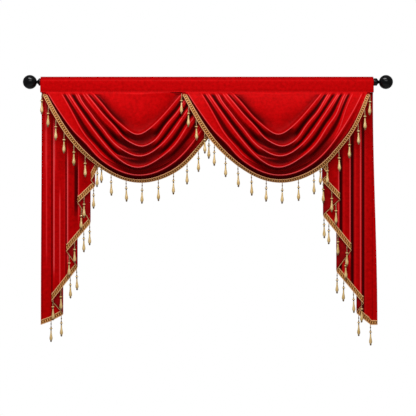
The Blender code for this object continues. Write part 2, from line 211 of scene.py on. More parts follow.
def makeDropLook(part):
    dark, light, scale, values = dropLooks[part]
    look, nodes, shader, place = newLook(f"drop_{part}")
    cloud = noise(nodes, place, scale, 3)
    join(ramp(nodes, cloud, [(0.3, dark), (0.7, light)]), shader, "Base Color")
    join(bump(nodes, cloud, 0.06, 0.0003), shader, "Normal")
    fill(shader, values)
    return look


black = {
    "dark": (0.002, 0.002, 0.0023), "light": (0.004, 0.004, 0.0045), "peelScale": 220, "peelBump": (0.05, 0.0004),
    "smoothest": 0.16, "roughest": 0.26, "lacquer": {"Specular IOR Level": 0.22},
}


def makeBlackLook():
    look, nodes, shader, place = newLook("black_lacquered_metal")
    peel = noise(nodes, place, black["peelScale"], 2)
    join(ramp(nodes, peel, [(0.3, black["dark"]), (0.7, black["light"])]), shader, "Base Color")
    roughen(nodes, shader, peel, black["smoothest"], black["roughest"])
    join(bump(nodes, peel, *black["peelBump"]), shader, "Normal")
    fill(shader, black["lacquer"])
    return look


velvetFace, velvetReverse = makeVelvet(), makeReverse()
braidParts = [makeBraidLook(part) for part in ("cord", "centre")]
dropParts = [makeDropLook(part) for part in dropLooks]
blackLook = makeBlackLook()
print("materials made")


# mesh making


def addThing(name, data, spot=(0, 0, 0)):
    thing = bpy.data.objects.new(name, data)
    thing.location = spot
    bpy.context.scene.collection.objects.link(thing)
    return thing


def meshPiece(name, points, faces, looks, faceLooks=None, uv=None, shades=None):
    mesh = bpy.data.meshes.new(name)
    mesh.from_pydata((np.asarray(points) * mm).tolist(), [], faces)
    for look in looks:
        mesh.materials.append(look)
    if faceLooks is not None:
        mesh.polygons.foreach_set("material_index", np.asarray(faceLooks, np.int32))
    if uv is not None:
        corner = np.zeros(len(mesh.loops), np.int32)
        mesh.loops.foreach_get("vertex_index", corner)
        layer = mesh.uv_layers.new(name="cloth")
        layer.data.foreach_set("uv", (np.asarray(uv)[corner] * mm).astype(np.float32).ravel())
    for word, values in (shades or {}).items():
        mesh.attributes.new(word, "FLOAT", "POINT").data.foreach_set("value", np.asarray(values, np.float32).ravel())
    shape = bmesh.new()
    shape.from_mesh(mesh)
    bmesh.ops.recalc_face_normals(shape, faces=shape.faces)
    shape.to_mesh(mesh)
    shape.free()
    mesh.shade_smooth()
    return addThing(name, mesh)


# corner numbers of the quads of a grid of points
def quads(rows, columns, wrap=False):
    r, c = np.meshgrid(np.arange(rows if wrap else rows - 1), np.arange(columns - 1), indexing="ij")
    a, b = r * columns + c, (r + 1) % rows * columns + c
    return np.stack([a, a + 1, b + 1, b], axis=-1)


# closed thin sheet between two grids: look 0 in front, look 1 behind, and rowLooks for each row of the front
def sheetPiece(name, front, back, looks, uv, rowLooks=None, wrap=False, shades=None):
    rows, columns = front.shape[:2]
    count = rows * columns
    ahead = quads(rows, columns, wrap)
    faceLooks = np.zeros(ahead.shape[:2], int)
    if rowLooks is not None:
        faceLooks[:] = np.asarray(rowLooks)[:, None]
    behind = (ahead + count)[..., ::-1]
    rims = []
    for side in (0, columns - 1):
        a = np.arange(rows if wrap else rows - 1)
        a, b = a * columns + side, (a + 1) % rows * columns + side
        rims.append(np.stack([a, b, b + count, a + count], axis=-1))
    if not wrap:
        for side in (0, rows - 1):
            a = side * columns + np.arange(columns - 1)
            rims.append(np.stack([a, a + 1, a + 1 + count, a + count], axis=-1))
    rims = np.concatenate(rims)
    faces = np.concatenate([ahead.reshape(-1, 4), behind.reshape(-1, 4), rims])
    backLook = 1 if len(looks) > 1 and rowLooks is None else 0
    allLooks = np.concatenate([faceLooks.ravel(), np.full(faceLooks.size, backLook), np.zeros(len(rims), int)])
    points = np.concatenate([front.reshape(-1, 3), back.reshape(-1, 3)])
    shades = {word: np.tile(values.ravel(), 2) for word, values in (shades or {}).items()}
    return meshPiece(name, points, faces.tolist(), looks, allLooks, np.tile(uv.reshape(-1, 2), (2, 1)), shades)


def smooth(x):
    x = np.clip(x, 0, 1)
    return x * x * (3 - 2 * x)


# from 0 to 1 over a span
def ease(x, begin, span):
    return smooth((x - begin) / span)


# 1 at a place, and nearly 0 two widths from it
def hump(x, at, width):
    return np.exp(-(((x - at) / width) ** 2))


# knots of a profile with a smooth curve put through them; the last knot is kept
def rounded(knots, count):
    knots = np.asarray(knots, float)
    padded = np.vstack([2 * knots[0] - knots[1], knots, 2 * knots[-1] - knots[-2]])
    out = []
    for k in range(len(knots) - 1):
        a, b, c, d = padded[k:k + 4]
        for t in np.arange(count) / count:
            out.append(0.5 * (2 * b + (c - a) * t + (2 * a - 5 * b + 4 * c - d) * t * t
                              + (3 * b - a - 3 * c + d) * t ** 3))
    return np.array(out + [knots[-1]])


# unit normals of a grid of points, pointing to the room, and straight to it along the seam
def gridNormals(grid):
    down, along = np.gradient(grid, axis=0), np.gradient(grid, axis=1)
    normal = np.cross(along, down)
    if normal[..., 1].mean() > 0:
        normal = -normal
    for edge in (normal[0], normal[:, 0], normal[:, -1]):
        edge[...] = (0, -1, 0)
    return normal / np.maximum(np.linalg.norm(normal, axis=2, keepdims=True), 1e-9)


# distance of each point from the first one, along a line or down each column of a grid
def lengthsAlong(line):
    lengths = np.cumsum(np.linalg.norm(np.diff(line, axis=0), axis=-1), axis=0)
    return np.concatenate([np.zeros_like(lengths[:1]), lengths])


# braid and beaded drops

braid = {
    "width": 21, "overhang": 3, "gap": 0.3, "thick": 1.1,
    "cordShare": 0.17, "cordHeight": 2, "twist": 4.6, "twistDepth": 0.4, "twistSlant": 2.2, "thinnest": 0.35,
    "centreHeight": 1, "repeat": 11, "relief": 0.5, "below": 10, "endRound": 6,
}
# shares of its width at which the braid's face has points
acrossBraid = np.array([0, 0.02, 0.05, 0.085, 0.12, 0.15, 0.17, 0.2, 0.26, 0.34, 0.42, 0.5,
                        0.58, 0.66, 0.74, 0.8, 0.83, 0.85, 0.88, 0.915, 0.95, 0.98, 1])
braidRowLooks = [0 if w < braid["cordShare"] or w > 1 - braid["cordShare"] else 1
                 for w in 0.5 * (acrossBraid[1:] + acrossBraid[:-1])]


# height of the braid's face above its back, across it and along it, and how raised its threads are there
def braidRelief(along):
    w, s = acrossBraid[:, None], np.asarray(along)[None, :]
    edge = np.minimum(w, 1 - w)
    inCord = edge < braid["cordShare"]
    place = edge / braid["cordShare"]
    twisted = np.sin(2 * math.pi * s / braid["twist"] + braid["twistSlant"] * place)
    cord = braid["cordHeight"] * np.sqrt(np.clip(1 - (2 * place - 1) ** 2, 0.04, 1)) + braid["twistDepth"] * twisted
    turn, side = 2 * math.pi * s / braid["repeat"], math.pi * (w - 0.5) / (0.5 - braid["cordShare"])
    strands = np.maximum(np.cos(turn + side), np.cos(turn - side))
    lattice = 0.45 * strands + 0.55 * np.cos(turn) * np.cos(0.5 * side)
    centre = braid["centreHeight"] + braid["relief"] * lattice
    raised = np.where(inCord, 0.55 + 0.45 * twisted, 0.5 + 0.5 * lattice)
    return np.maximum(np.where(inCord, cord, centre), braid["thinnest"]), raised


# a band of braid from its top line to its lower edge, lying on the cloth's face
def braidPiece(name, top, edge, liftTop, liftEdge):
    along = lengthsAlong(0.5 * (top + edge))
    w = acrossBraid[:, None, None]
    base = top[None] * (1 - w) + edge[None] * w
    lift = liftTop[None] * (1 - w) + liftEdge[None] * w
    lift = lift / np.linalg.norm(lift, axis=2, keepdims=True)
    relief, raised = braidRelief(along)
    front = base + (braid["gap"] + relief)[..., None] * lift
    back = base + braid["gap"] * lift
    uv = np.stack(np.broadcast_arrays(along[None, :], braid["width"] * acrossBraid[:, None]), axis=-1)
    # lower threads are coloured darker: partly painted shade in the braid's recesses, partly its darker threads
    return sheetPiece(name, front, back, braidParts, uv, rowLooks=braidRowLooks, shades={"threadToneAndShade": raised})


# below the braid, radius, and the part's look: 0 thread, 1 acrylic, 2 bronze bead
dropShape = {
    "sides": 12,
    "profile": [
        (0, 0.75, 0), (1, 1.6, 0), (8.5, 1.6, 0), (9, 1.9, 2), (10.5, 2.6, 2), (12.5, 2.9, 2), (14.5, 2.5, 2),
        (16, 1.8, 2), (16.5, 1.6, 0), (23.5, 1.6, 0), (24, 2, 2), (25.2, 2.8, 2), (27, 3.3, 2), (28.8, 3, 2),
        (29.8, 2.2, 2),
        (30.2, 3, 1), (31, 5, 1), (32.2, 6.7, 1), (33.2, 7.1, 1), (34.2, 6.6, 1), (35.3, 4.6, 1), (36.2, 3, 1),
        (36.6, 2.2, 2), (37.6, 3.1, 2), (39.5, 3.4, 2), (41.2, 3, 2), (42.3, 2.3, 2),
        (42.8, 3, 1), (43.6, 3.2, 1), (50, 3.2, 1), (54, 3.5, 1), (58.5, 4.1, 1), (63, 4.9, 1), (68, 5.9, 1),
        (72.5, 6.7, 1), (76.5, 7.2, 1), (80, 7, 1), (83, 6.1, 1), (85.5, 4.6, 1),
        (86.2, 3.2, 2), (87.2, 3.9, 2), (89.2, 4.3, 2), (91.2, 3.9, 2), (93.2, 2.7, 2), (94.6, 1.1, 2),
    ],
    "rootInside": 1.3, "swing": 0.012, "clearBelow": 30,
}


# beaded drops on threads from the braid's lower edge
def dropsPiece(name, roots, seed):
    chance = np.random.default_rng(seed)
    sides = dropShape["sides"]
    angle = 2 * math.pi * np.arange(sides) / sides
    circle = np.stack([np.cos(angle), np.sin(angle), 0 * angle], axis=1)
    points, faces, looks = [], [], []
    for root, rise, forward in roots:
        first = base = len(points)
        lean = dropShape["swing"] * chance.standard_normal(2)
        rings = [(root + dropShape["rootInside"] * rise, dropShape["profile"][0][1])]
        for below, radius, _ in dropShape["profile"][1:]:
            ahead = forward * smooth(below / dropShape["clearBelow"])
            rings.append((root + np.array([lean[0] * below, lean[1] * below - ahead, -below]), radius))
        for centre, radius in rings:
            points.extend(centre + radius * circle)
        for *_, look in dropShape["profile"][1:]:
            for k in range(sides):
                a, b = base + k, base + (k + 1) % sides
                faces.append((a, b, b + sides, a + sides))
            looks += [look] * sides
            base += sides
        faces += [tuple(range(first, first + sides)), tuple(range(base, base + sides))]
        looks += [0, 2]
    return meshPiece(name, points, faces, dropParts, looks)


# swags

swagShape = {
    "columns": 190, "braidColumns": 820, "width": 860.7, "panelLeft": 236, "panelRight": 629, "hemTilt": 15,
    "hemRows": 6, "drops": 18, "firstDrop": 0.006, "dropsOver": 0.984, "crowd": 0.012, "crowdTo": 13.5,
    "forward": (5, 3), "ripples": ((0.05, 9), (0.03, 23)),
    # where a change begins, and over what span
    "rightArm": (0.36, 0.28), "nearMiddle": (0.22, 0.13), "towardsRight": (0.34, 0.44), "pushEnds": (575, 44),
}
# line, left end, right end, lowest point across, lowest point down, bend, depth at the ends, depth in the middle
swagLines = [
    ("fold1", 228.7, 637, 434.4, 190.4, 4.35, 3, 20),
    ("fold2", 196.7, 668, 452.5, 243.6, 4.1, 3, 23),
    ("fold3", 161.5, 710.9, 443.4, 287.4, 2.5, 3, 22),
    ("fold4", 118.6, 742.5, 434.4, 338.3, 2.4, 3, 26),
    ("fold5", 88, 776, 434.4, 356, 1.6, 3, 20),
    ("fold6", 28.4, 816.5, 443.4, 374, 1.1, 3, 20),
    ("braidTop", 19.8, 839, 443, 392.9, 1, 1.5, 9),
    ("braidEdge", 0, 854, 448, 406.9, 0.94, 1.5, 9),
]
# Where a line swings outwards from its curve: share of its length, by how much, over what share
swagSwings = {
    "fold1": [(0.26, 4.2, 0.1), (0.72, 4, 0.18)],
    "fold2": [(0.2, 4, 0.1), (0.39, 8, 0.07), (0.63, 7, 0.07), (0.85, 6, 0.08)],
    "fold3": [(0.08, 6, 0.07), (0.19, 4.5, 0.06), (0.34, 9, 0.09), (0.68, 5, 0.12)],
    "fold4": [(0.72, 19, 0.12), (0.88, 12, 0.06)],
    "fold5": [(0.22, 13, 0.1), (0.34, 8, 0.05), (0.8, 34, 0.1), (0.66, 20, 0.08)],
    "fold6": [(0.26, -7, 0.05), (0.7, 3, 0.08)],
    "braidTop": [(0.2, 5, 0.12), (0.68, 8, 0.08), (0.84, 13, 0.1)],
    "braidEdge": [(0.2, 9, 0.12), (0.68, 8, 0.08), (0.85, 12, 0.1)],
}
# Steps of a profile, on the arms and in the middle of a swag: share of the way to the next line, millimetres more,
# share of the crest above and share of the crest below.
panelArm = [
    (0, 0, 0, 0), (0.15, 0, 0, 0), (0.3, 0, 0, 0), (0.45, 0, 0, -0.02), (0.6, 0, 0, -0.08), (0.74, 0, 0, -0.14),
    (1, -20, 0, -0.1), (1, -12, 0, 0.16), (1, -6.5, 0, 0.55), (1, -2.6, 0, 0.9), (1, 0, 0, 1),
]
panelMiddle = [
    (0, 0, 0, 0), (0.2, 0, 0, 0), (0.4, 0, 0, 0), (0.58, 0, 0, -0.02), (0.68, 0, 0, -0.06), (0.78, 0, 0, -0.08),
    (1, -28, 0, 0), (1, -16, 0, 0.22), (1, -7, 0, 0.6), (1, -2.6, 0, 0.88), (1, 0, 0, 1),
]
foldArm = [
    (0, 0, 1, 0), (0.05, 0, 0.99, 0), (0.14, 0, 0.97, 0), (0.24, 0, 0.91, 0), (0.33, 0, 0.78, 0),
    (0.41, 0, 0.55, 0), (0.49, 0, 0.28, 0), (0.57, 0, 0.08, 0), (0.65, 0, 0, 0), (0.73, 0, 0, 0.06),
    (0.8, 0, 0, 0.28), (0.86, 0, 0, 0.6), (0.91, 0, 0, 0.84), (0.95, 0, 0, 0.95), (0.98, 0, 0, 0.99), (1, 0, 0, 1),
]
foldMiddle = [
    (0, 0, 1, 0), (0, 1.8, 0.93, 0), (0, 2.9, 0.75, 0), (0, 3.1, 0.52, 0), (0, 3.6, 0.32, 0), (0.03, 4.4, 0.16, 0),
    (0.12, 4.5, 0.05, 0), (0.26, 3, 0, 0), (0.42, 1, 0, 0), (0.58, 0, 0, 0.05), (0.74, 0, 0, 0.18),
    (0.88, 0, 0, 0.38), (1, -4.8, 0, 0.6), (1, -2.8, 0, 0.8), (1, -1.1, 0, 0.96), (1, 0, 0, 1),
]
broadArm = [
    (0, 0, 1, 0), (0.05, 0, 0.99, 0), (0.1, 0, 0.94, 0), (0.17, 0, 0.84, 0.03), (0.25, 0, 0.72, 0.1),
    (0.33, 0, 0.6, 0.2), (0.41, 0, 0.5, 0.3), (0.49, 0, 0.4, 0.4), (0.57, 0, 0.32, 0.5), (0.65, 0, 0.24, 0.6),
    (0.73, 0, 0.17, 0.7), (0.81, 0, 0.11, 0.79), (0.88, 0, 0.06, 0.87), (0.93, 0, 0.02, 0.93), (0.97, 0, 0, 0.98),
    (1, 0, 0, 1),
]
lastArm = [
    (0, 0, 1, 0), (0.1, 0, 0.94, 0), (0.22, 0, 0.78, 0), (0.36, 0, 0.5, 0.02), (0.5, 0, 0.26, 0.08),
    (0.64, 0, 0.1, 0.2), (0.78, 0, 0.02, 0.48), (0.9, 0, 0, 0.8), (1, 0, 0, 1),
]
lastMiddle = [
    (0, 0, 1, 0), (0, 1.5, 0.94, 0), (0.02, 2.1, 0.8, 0), (0.08, 1.8, 0.6, 0.02), (0.2, 0.5, 0.36, 0.06),
    (0.4, 0, 0.12, 0.16), (0.6, 0, 0, 0.32), (0.8, 0, 0, 0.62), (1, 0, 0, 1),
]
# Painted shade in the velvet's colour: on the panel by millimetres from its fold, below a fold by share of the way to
# the next. Then, by gap or line, how late its profile comes, where a fine twin line of painted highlight lies and how
# strong each line's painted highlight is; and for all, the twin's painted highlight, its gain at the top, the lines'
# half width, the seam's painted highlight and the hem's painted shade.
swagShade = {
    "panelArm": [
        (0, 0), (3, 0.7), (6, 0.9), (9, 0.93), (12.5, 0.84), (16, 0.71), (19, 0.58), (22, 0.45), (25, 0.36),
        (28, 0.3), (31, 0.23), (35, 0.14), (45, 0.05), (55, 0)],
    "panelMiddle": [(0, 0), (2, 0.25), (6, 0.4), (25, 0.4), (38, 0.3), (56, 0.17), (75, 0.05), (90, 0)],
    "foldMiddle": [
        (0, 0), (0.06, 0.35), (0.12, 0.6), (0.2, 0.74), (0.35, 0.83), (0.5, 0.87), (0.6, 0.84), (0.7, 0.75),
        (0.8, 0.63), (0.9, 0.42), (0.96, 0.2), (1, 0)],
    "last": [(0, 0), (0.1, 0.25), (0.28, 0.85), (0.6, 1), (0.9, 1), (1, 0.9)],
    # painted shade in the gaps between folds on the left arm, where it nears the middle, and on the right arm: share
    # where it begins, share where it is darkest, and how dark
    "gaps": [
        [(0.05, 0.66, 0.85), (0.45, 0.73, 0.72), (0.1, 0.62, 1), (0.2, 0.66, 0.9)],
        [(0.02, 0.6, 0.95), (0.02, 0.56, 1), (0.02, 0.56, 0.97), (0.02, 0.5, 0.85)],
        [(0.15, 0.64, 1), (0.26, 0.55, 0.97), (0.1, 0.52, 0.97), (0.1, 0.52, 0.9)],
    ],
    "late": (0, 0.1, 0.42, 0, 0.1, 0, 0), "twinLeft": (0.46, 0.38, 0.25, 0.36), "twinRight": (0.4, 0.22, 0.22, 0.3),
    "twin": 0.2, "twinTop": 0.5, "line": 2, "edges": (0, 0.85, 1, 1, 1, 0.75, 0.95, 0, 0), "seam": 0.2, "hem": 0.6,
}
# Shares of each line between which the look of the arms gives way to that of the middle, and where it comes back
middles = [
    (0.33, 0.46, 0.57, 0.7), (0.385, 0.47, 0.59, 0.65), (0.335, 0.4, 0.565, 0.63), (0.375, 0.425, 0.6, 0.66),
    (0.4, 0.45, 0.62, 0.68), (0.4, 0.45, 0.62, 0.68), (0.34, 0.44, 0.6, 0.72),
]


# points along a hanging curve at the given shares of its length; both ends are on the seam
def hangingLine(left, right, lowU, lowV, bend, swings, shares):
    t = np.linspace(0, 1, 400)
    pullV = lowV * (1 + bend) / bend
    pullU = (lowU * (1 + bend) - 0.5 * (left + right)) / bend
    weight = (1 - t) ** 2 + 2 * bend * t * (1 - t) + t**2
    u = ((1 - t) ** 2 * left + 2 * bend * t * (1 - t) * pullU + t**2 * right) / weight
    v = 2 * bend * t * (1 - t) * pullV / weight
    along = lengthsAlong(np.stack([u, v], axis=1))
    along = along / along[-1]
    out = sum(amount * hump(along, spot, spread) for spot, amount, spread in swings)
    out = out * np.clip(np.minimum(along, 1 - along) / 0.05, 0, 1)
    slopeU, slopeV = np.gradient(u), np.gradient(v)
    length = np.hypot(slopeU, slopeV)
    u, v = u - out * slopeV / length, v + out * slopeU / length
    return np.stack([np.interp(shares, along, u), np.interp(shares, along, v)], axis=1)


def steps(places, knots):
    return np.interp(places, *zip(*knots))


class Swag:
    def __init__(self, startX, seamY, forwardLeft, forwardRight, onset, seamPush, seamFall, seed):
        self.startX, self.seamY, self.onset, self.seamPush, self.seamFall = startX, seamY, onset, seamPush, seamFall
        self.forwardLeft, self.forwardRight = forwardLeft, forwardRight
        s = self.shares = np.linspace(0, 1, swagShape["columns"])
        panelWidth = swagShape["panelRight"] - swagShape["panelLeft"]
        seam = np.stack([swagShape["panelLeft"] + s * panelWidth, 0 * s], axis=1)
        self.lines = [seam] + [hangingLine(*row[1:6], swagSwings[row[0]], s) for row in swagLines]
        arch = np.sin(math.pi * s)
        self.right = ease(s, *swagShape["rightArm"])
        self.close = ease(s, *swagShape["nearMiddle"]) * (1 - self.right)
        chance = np.random.default_rng(seed)
        self.crests = [0 * arch]
        for name, *_, ends, middle in swagLines:
            swell = arch ** 1.2
            if name == "fold5":
                swell = swell * (1 - 0.85 * ease(s, 0.33, 0.12))
            if name.startswith("fold"):
                a, b = chance.uniform(0, 6.28, 2)
                (low, slow), (high, fast) = swagShape["ripples"]
                swell = swell * (1 + low * np.sin(slow * s + a) + high * np.sin(fast * s + b))
            self.crests.append(ends + (middle - ends) * swell)
        self.tilt = swagShape["hemTilt"] * arch ** 1.5
        self.middles = [ease(s, a, b - a) * (1 - ease(s, c, d - c)) for a, b, c, d in middles]

    def depths(self, u, v):
        across = ease(u / swagShape["width"], *swagShape["towardsRight"])
        ahead = self.forwardLeft + (self.forwardRight - self.forwardLeft) * across
        # the left swag's seam isn't pushed forward where it goes under the right swag
        under = self.forwardRight < self.forwardLeft
        push = self.seamPush * (1 - ease(u, *swagShape["pushEnds"]) if under else 1)
        return self.seamY - ahead * (1 - np.exp(-v / self.onset)) - push * np.exp(-v / self.seamFall)

    # rows of the cloth's face from one line to the next; the painted shade and highlight of their points are kept
    def between(self, line, arm, middle, count):
        arm, middle = rounded(arm, count)[:-1, None], rounded(middle, count)[:-1, None]
        mix = self.middles[line][None, :, None]
        share, more, upper, lower = np.moveaxis(arm * (1 - mix) + middle * mix, 2, 0)
        late = swagShade["late"][line] * (1 - self.middles[line]) * (1 - self.right) * (1 - self.close)
        share = share + late * share * (1 - share)
        first, second = self.lines[line], self.lines[line + 1]
        span = second - first
        width = np.maximum(np.linalg.norm(span, axis=1), 1e-6)
        flat = first + share[..., None] * span
        size = np.clip(width / 40, 0.3, 1) * np.clip(flat[..., 1] / 25, 0, 1)
        flat = flat + (more * size / width)[..., None] * span
        u, v = flat[..., 0], flat[..., 1]
        y = self.depths(u, v) - upper * self.crests[line] - lower * self.crests[line + 1]
        way = np.gradient(second, axis=0)
        square = np.abs(span[:, 0] * way[:, 1] - span[:, 1] * way[:, 0]) / np.linalg.norm(way, axis=1)
        self.shades.append(self.shade(line, share + more * size / width, square, v))
        return np.stack([self.startX + u, y, seamZ - seamGap - v], axis=-1)

    # painted shade and painted highlight of each point of a stretch between two lines: painted shade in the gaps
    # between folds, painted highlight near a fold's crest
    def shade(self, line, share, square, v):
        mix, right, close, looks = self.middles[line], self.right, self.close, swagShade
        near, far = np.abs(share) * square, np.abs(1 - share) * square
        kept = 1 - 0.95 * ease(self.shares, 0.33, 0.08) * (1 - ease(self.shares, 0.72, 0.12))
        if line == 0:
            reach = 1 + 0.55 * ease(v, 50, 110)
            paintedShade = steps(far / reach, looks["panelArm"]) * (1 - 0.42 * right) * (1 - mix)
            paintedShade = paintedShade + steps(far, looks["panelMiddle"]) * mix
        elif line < 5:
            left, nearer, other = np.array(looks["gaps"])[:, line - 1, :, None]
            begin, gap, deep = (left * (1 - close) + nearer * close) * (1 - right) + other * right
            arm = deep * ease(share, begin, gap - begin) * (1 - ease(share - gap, 0.13, 0.18))
            paintedShade = arm * (1 - mix) + steps(share, looks["foldMiddle"]) * mix * (1.06 - 0.12 * right)
        elif line == 5:
            paintedShade = 0.85 * np.sin(math.pi * np.clip(share, 0, 1)) ** 0.7 * mix
        else:
            turned = ease(self.shares, 0.66, 0.2)
            narrow = 0.34 * ease(share, 0.15, 0.2) + 0.45 * ease(share, 0.75, 0.15)
            paintedShade = steps(share, looks["last"]) * (1 - turned) + narrow * turned * smooth(v / 160)
        if line == 4:
            paintedShade = np.maximum(paintedShade, 0.8 * (1 - kept) * smooth(share / 0.3))
        if line == 5:
            paintedShade = np.maximum(paintedShade, 0.8 * (1 - kept) * (1 - ease(share, 0.6, 0.4)))
        first = looks["edges"][line] * (kept if line == 5 else 1)
        second = looks["edges"][line + 1] * (kept if line == 4 else 1)
        fade = looks["line"]
        # painted highlight along both fold crests, and below along the twin lines and the seam
        edge = (0.75 + 0.25 * mix) * (first * hump(near, 0, fade) + second * hump(far, 0, fade))
        if 0 < line < 5:
            twin = looks["twinLeft"][line - 1] * (1 - 0.5 * close) * (1 - right)
            twin = twin + looks["twinRight"][line - 1] * right
            paintedHighlight = looks["twin"] * (line > 1) + looks["twinTop"] * hump(v, 0, 75)
            edge = edge + paintedHighlight * (1 - mix) * hump((share - twin) * square, 0, 2.4)
        edge = edge * smooth(v / 16) + looks["seam"] * hump(v, 0, 4.5)
        return np.stack([np.clip(paintedShade * ease(v, 2, 15), 0, 1), np.clip(edge, 0, 1)])

    def braidRow(self, share):
        u, v = (self.lines[7] * (1 - share) + self.lines[8] * share).T
        y = self.depths(u, v) - (1 - share) * self.crests[7] - share * self.crests[8] + share * self.tilt
        return np.stack([self.startX + u, y, seamZ - seamGap - v], axis=1)

    def face(self):
        self.shades = []
        parts = [self.between(0, panelArm, panelMiddle, 3)]
        parts += [self.between(line, foldArm, foldMiddle, 2) for line in range(1, 5)]
        parts += [self.between(5, broadArm, foldMiddle, 2), self.between(6, lastArm, lastMiddle, 2)]
        self.braidStart = sum(len(part) for part in parts)
        hem = 1 - braid["overhang"] / braid["width"]
        rows = np.array([self.braidRow(share) for share in np.linspace(0, hem, swagShape["hemRows"])])
        # painted shade on the hem rows under the braid
        self.shades.append(np.zeros((2, *rows.shape[:2])))
        self.shades[-1][0] = swagShade["hem"]
        return np.concatenate([*parts, rows])


# small folds laid along short lines on the cloth, with painted highlight along them: points across and down, height,
# width, and the strength of the painted highlight
def creaseSwag(face, edge, swag, creases):
    u, v = face[..., 0] - swag.startX, seamZ - seamGap - face[..., 2]
    for points, height, width, paintedHighlight in creases:
        points = np.asarray(points, float)
        best, spot = np.full(u.shape, 1e9), np.zeros(u.shape)
        lengths = lengthsAlong(points)
        for k in range(len(points) - 1):
            a, b = points[k], points[k + 1]
            span = b - a
            t = np.clip(((u - a[0]) * span[0] + (v - a[1]) * span[1]) / (span @ span), 0, 1)
            away = np.hypot(u - a[0] - t * span[0], v - a[1] - t * span[1])
            nearer = away < best
            best = np.minimum(best, away)
            spot = np.where(nearer, (lengths[k] + t * (lengths[k + 1] - lengths[k])) / lengths[-1], spot)
        here = np.sin(math.pi * np.clip(spot, 0, 1)) ** 0.7 * hump(best, 0, width)
        face[..., 1] -= height * here
        edge[...] = np.clip(edge + paintedHighlight * here, 0, 1)


swagCreases = [
    ([(335, 226), (350, 236), (394, 255), (418, 260), (440, 262)], 1.2, 2.6, 0.42),
    ([(330, 272), (345, 283), (388, 297), (416, 301), (440, 302)], 1.2, 2.6, 0.62),
    ([(395, 213), (425, 222), (460, 221)], 0.8, 4, 0.1),
    ([(470, 305), (500, 297), (530, 280)], 1, 5, 0.12),
]


def buildSwag(side, swag, seed):
    face = swag.face()
    # painted shade and painted highlight that the velvet's colour takes
    paintedShade, edge = np.concatenate(swag.shades, axis=1)
    creaseSwag(face, edge, swag, swagCreases)
    normal = gridNormals(face)
    uv = np.stack([face[..., 0], -lengthsAlong(face)], axis=-1)
    cloth = sheetPiece(f"swag_{side}_cloth", face, face - clothThick * normal, [velvetFace, velvetReverse], uv,
                       shades={"paintedShade": paintedShade, "edge": edge})

    start = swag.braidStart
    lines = [face[start], swag.braidRow(1), normal[start], normal[-1]]
    fine = np.linspace(0, 1, swagShape["braidColumns"])
    top, edge, liftTop, liftEdge = (
        np.stack([np.interp(fine, swag.shares, line[:, k]) for k in range(3)], axis=1) for line in lines)
    middle = 0.5 * (top + edge)
    hung = np.flatnonzero(middle[:, 2] < seamZ - seamGap - braid["below"])
    hung = slice(hung[0], hung[-1] + 1)
    place = lengthsAlong(top[hung])
    ends = np.minimum(place, place[-1] - place) / braid["endRound"]
    narrow = np.sqrt(1 - (1 - np.clip(ends, 0.06, 1)) ** 2)[:, None]
    bandTop, bandEdge = (middle[hung] + narrow * (line - middle)[hung] for line in (top, edge))
    band = braidPiece(f"swag_{side}_braid", bandTop, bandEdge, liftTop[hung], liftEdge[hung])

    reach = braid["gap"] + 0.5 * braid["thick"]
    middle = edge + reach * liftEdge
    rise = top - edge
    rise /= np.linalg.norm(rise, axis=1, keepdims=True)
    roots = []
    count, (middleForward, endForward) = swagShape["drops"], swagShape["forward"]
    for i in range(count):
        crowd = max(0, math.sin(math.pi * i / swagShape["crowdTo"])) ** 0.7
        share = swagShape["firstDrop"] + swagShape["dropsOver"] * i / (count - 1) - swagShape["crowd"] * crowd
        point, way = ([np.interp(share, fine, line[:, k]) for k in range(3)] for line in (middle, rise))
        roots.append((np.array(point), np.array(way), middleForward + endForward * abs(2 * share - 1)))
    return cloth, band, dropsPiece(f"swag_{side}_drops", roots, seed)


# tails: one cloth folded to and fro, F folds turn towards the window's middle and B folds to the outer side

tailShape = {
    "reach": 3.2, "squeeze": 0.311, "shift": 6.25, "opening": 220, "length": 1049,
    "columnStep": 2, "braidStep": 1.3, "rows": 72, "paintedShadeOut": 0.05, "paintedShadeIn": 0.0011,
}
# fold, distance from the outer edge, braid's lower edge below the seam, depth arriving, depth leaving
leftFolds = [
    ("edge", 0, 1049, 14, 14), ("mid", 43.8, 1032.6, 13, 13), ("F", 97.4, 1001.9, 14, 7.6),
    ("B", 48.3, 941, 6.4, 0), ("mid", 84, 894.2, -0.2, -0.2), ("F", 163.3, 789.9, 6, -0.4),
    ("B", 115.9, 717.7, -3.2, -9.4), ("mid", 142, 685.6, -9.4, -9.4), ("F", 222.8, 588.2, -3, -9.2),
    ("B", 167.8, 498.9, -12.3, -18.3), ("F", 244.5, 422.2, -14.2, -19.8), ("B", 228.7, 400, -20.6, -26.2),
    ("edge", 282.8, 300, -23, -23),
]
rightFolds = [
    ("edge", 0, 1049, 14, 14), ("mid", 24, 1049, 13.2, 13.2), ("mid", 49, 1024, 13.2, 13.2),
    ("F", 74.4, 995.1, 14, 7.6), ("B", 46, 952.3, 6.8, 0.4), ("mid", 76, 915.8, 0, 0),
    ("F", 166.5, 805.7, 5.5, -0.9), ("B", 102.4, 713.2, -3.6, -9.8), ("mid", 130, 678.3, -9.8, -9.8),
    ("F", 227.4, 555.3, -4.5, -10.7), ("B", 154.3, 484, -13.7, -19.7), ("F", 233.2, 397.4, -16.5, -22.1),
    ("B", 208.4, 372, -23.5, -28.9), ("edge", 258, 300, -27, -27),
]
